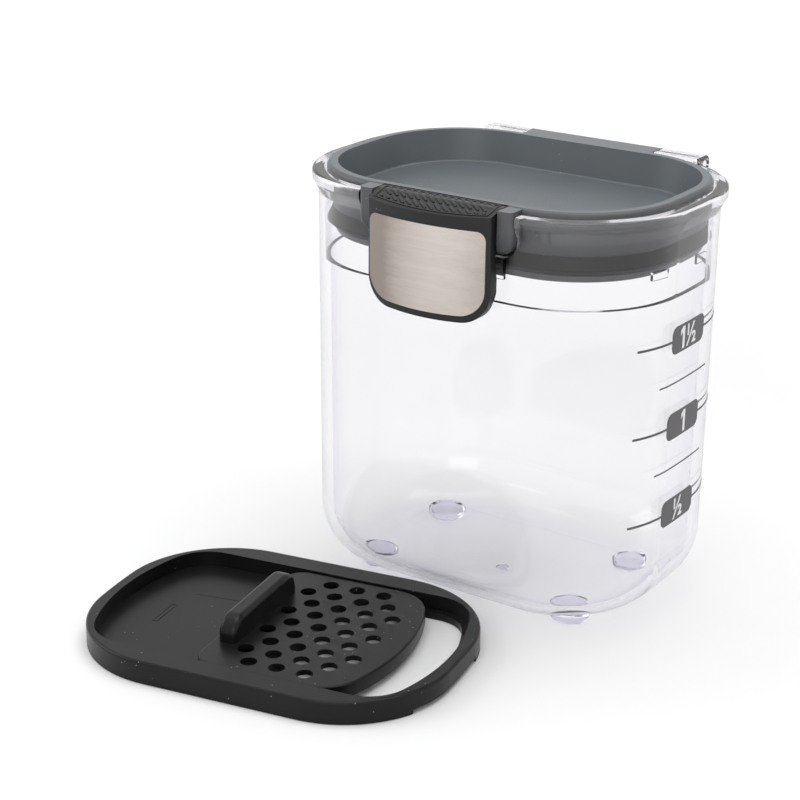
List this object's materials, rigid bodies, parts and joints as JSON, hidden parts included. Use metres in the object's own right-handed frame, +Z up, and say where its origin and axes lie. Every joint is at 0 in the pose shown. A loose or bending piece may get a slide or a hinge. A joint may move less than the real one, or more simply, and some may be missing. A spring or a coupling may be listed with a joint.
{
  "type": "food storage container",
  "caption": "Clear latching food jar with hinged grey lid, black front latch with a steel plate, and a loose black sifter insert with a sliding perforated plate.",
  "frame": {"origin": "on the table, under the middle of the box round the jar and the insert together", "axes": "+X along the jar's long side to the right, -Y to the latch side, +Z up"},
  "size_m": [0.1198, 0.145, 0.1068],
  "materials": {
    "jar_clear": "clear, glossy",
    "lid_grey": "satin",
    "seal_silicone": "matt silicone",
    "latch_black": "satin black",
    "plate_steel": "fine brushed, bare",
    "pin_steel": "plain",
    "sifter_black": "satin black"
  },
  "bodies": {
    "jar": {"jar_body": "jar_clear", "lid_hinge_pin": "pin_steel"},
    "lid": {"lid_tray": "lid_grey", "lid_gasket": "seal_silicone", "lid_keeper_ring": "lid_grey", "latch_pin": "pin_steel"},
    "latch": {"latch_body": "latch_black", "latch_steel_plate": "plate_steel"},
    "insert": {"sifter_frame": "sifter_black"},
    "slider": {"sifter_slider": "sifter_black"}
  },
  "joints": [
    {"name": "lid_hinge", "type": "hinge", "parent": "jar", "child": "lid", "pos_m": [0.0097, 0.07021, 0.1041], "axis": [-1, 0, 0], "range_deg": [0, 110]},
    {"name": "latch_hinge", "type": "hinge", "parent": "lid", "child": "latch", "pos_m": [0.0097, -0.00369, 0.104], "axis": [-1, 0, 0], "range_deg": [0, 95]},
    {"name": "insert_lift", "type": "slide", "parent": "jar", "child": "insert", "axis": [0, -0.7071, 0.7071], "range_m": [0, 0.12]},
    {"name": "slider_slide", "type": "slide", "parent": "insert", "child": "slider", "axis": [0.9833, 0.1822, 0], "range_m": [-0.022, 0.0113]}
  ]
}
